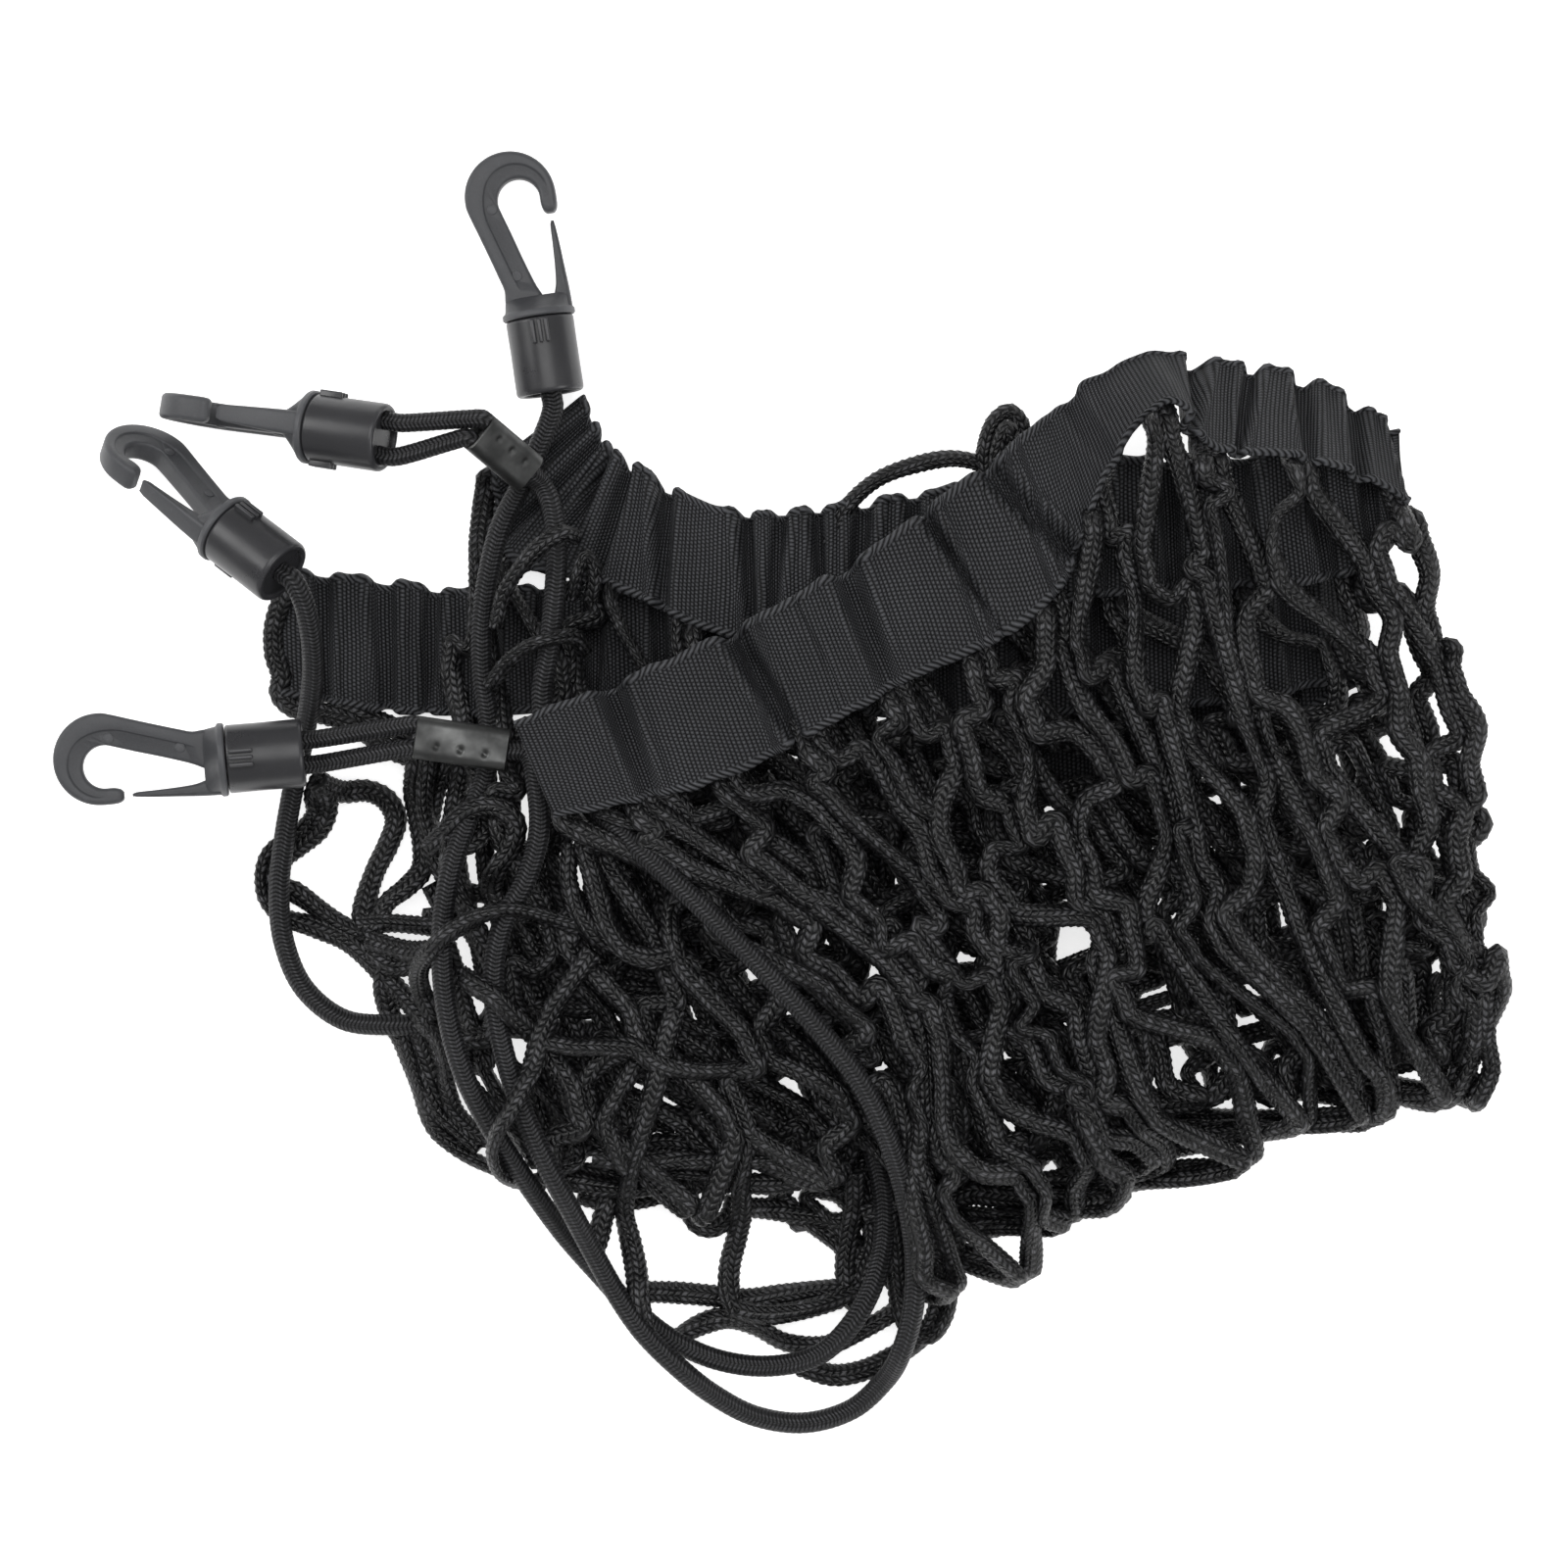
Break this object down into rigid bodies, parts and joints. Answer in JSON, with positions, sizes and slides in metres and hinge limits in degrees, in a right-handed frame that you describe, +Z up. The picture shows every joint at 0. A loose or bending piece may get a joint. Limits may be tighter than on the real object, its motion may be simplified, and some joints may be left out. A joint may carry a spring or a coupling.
{
  "type": "cargo net",
  "caption": "Folded cargo net of braided black twine with gathered webbing along its long edges, shock cord along its short edges and a moulded hook at each corner.",
  "frame": {"origin": "on the table, under the middle of the heap", "axes": "+Z up from the table; +X to the right and +Y away, as the picture shows the net from above"},
  "size_m": [0.3962, 0.3554, 0.0537],
  "materials": {
    "net_twine": "braided polyester twine, slightly shiny",
    "webbing": "woven gathered webbing, matte",
    "shock_cord": "braided cover over an elastic core, matte",
    "hook_plastic": "moulded, matte",
    "cap_plastic": "moulded, semi-gloss",
    "ferrule_zinc": "crimped, dull zinc"
  },
  "bodies": {
    "root": {"net": "net_twine", "webbing_front": "webbing", "webbing_rear": "webbing", "edge_cord_near": "shock_cord", "edge_cord_far": "shock_cord", "tail_2_a": "shock_cord", "tail_2_b": "shock_cord", "tail_4_a": "shock_cord", "tail_4_b": "shock_cord", "ferrule_2": "ferrule_zinc", "ferrule_4": "ferrule_zinc", "hook_1": "hook_plastic", "cap_1": "cap_plastic", "hook_2": "hook_plastic", "cap_2": "cap_plastic", "hook_3": "hook_plastic", "cap_3": "cap_plastic", "hook_4": "hook_plastic", "cap_4": "cap_plastic"}
  },
  "joints": []
}
